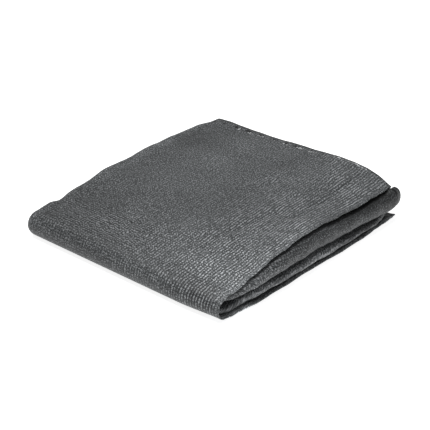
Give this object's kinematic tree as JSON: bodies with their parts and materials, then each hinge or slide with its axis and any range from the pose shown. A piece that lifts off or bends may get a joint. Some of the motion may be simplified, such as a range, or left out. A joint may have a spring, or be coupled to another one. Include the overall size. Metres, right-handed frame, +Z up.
{
  "type": "privacy screen",
  "caption": "Knitted privacy screen for a balcony or fence, folded into a low square pack with hemmed open ends and a rolled band along one side.",
  "frame": {"origin": "centre of the pack's footprint, on the face it rests on", "axes": "+Z up through the layers, +Y towards the hemmed open ends, +X towards the selvedges and the band of inner folds"},
  "size_m": [0.3504, 0.3738, 0.0565],
  "materials": {
    "knit_cloth": "matt knitted polyethylene with a faint sheen"
  },
  "bodies": {
    "root": {"screen_cloth": "knit_cloth"}
  },
  "joints": []
}
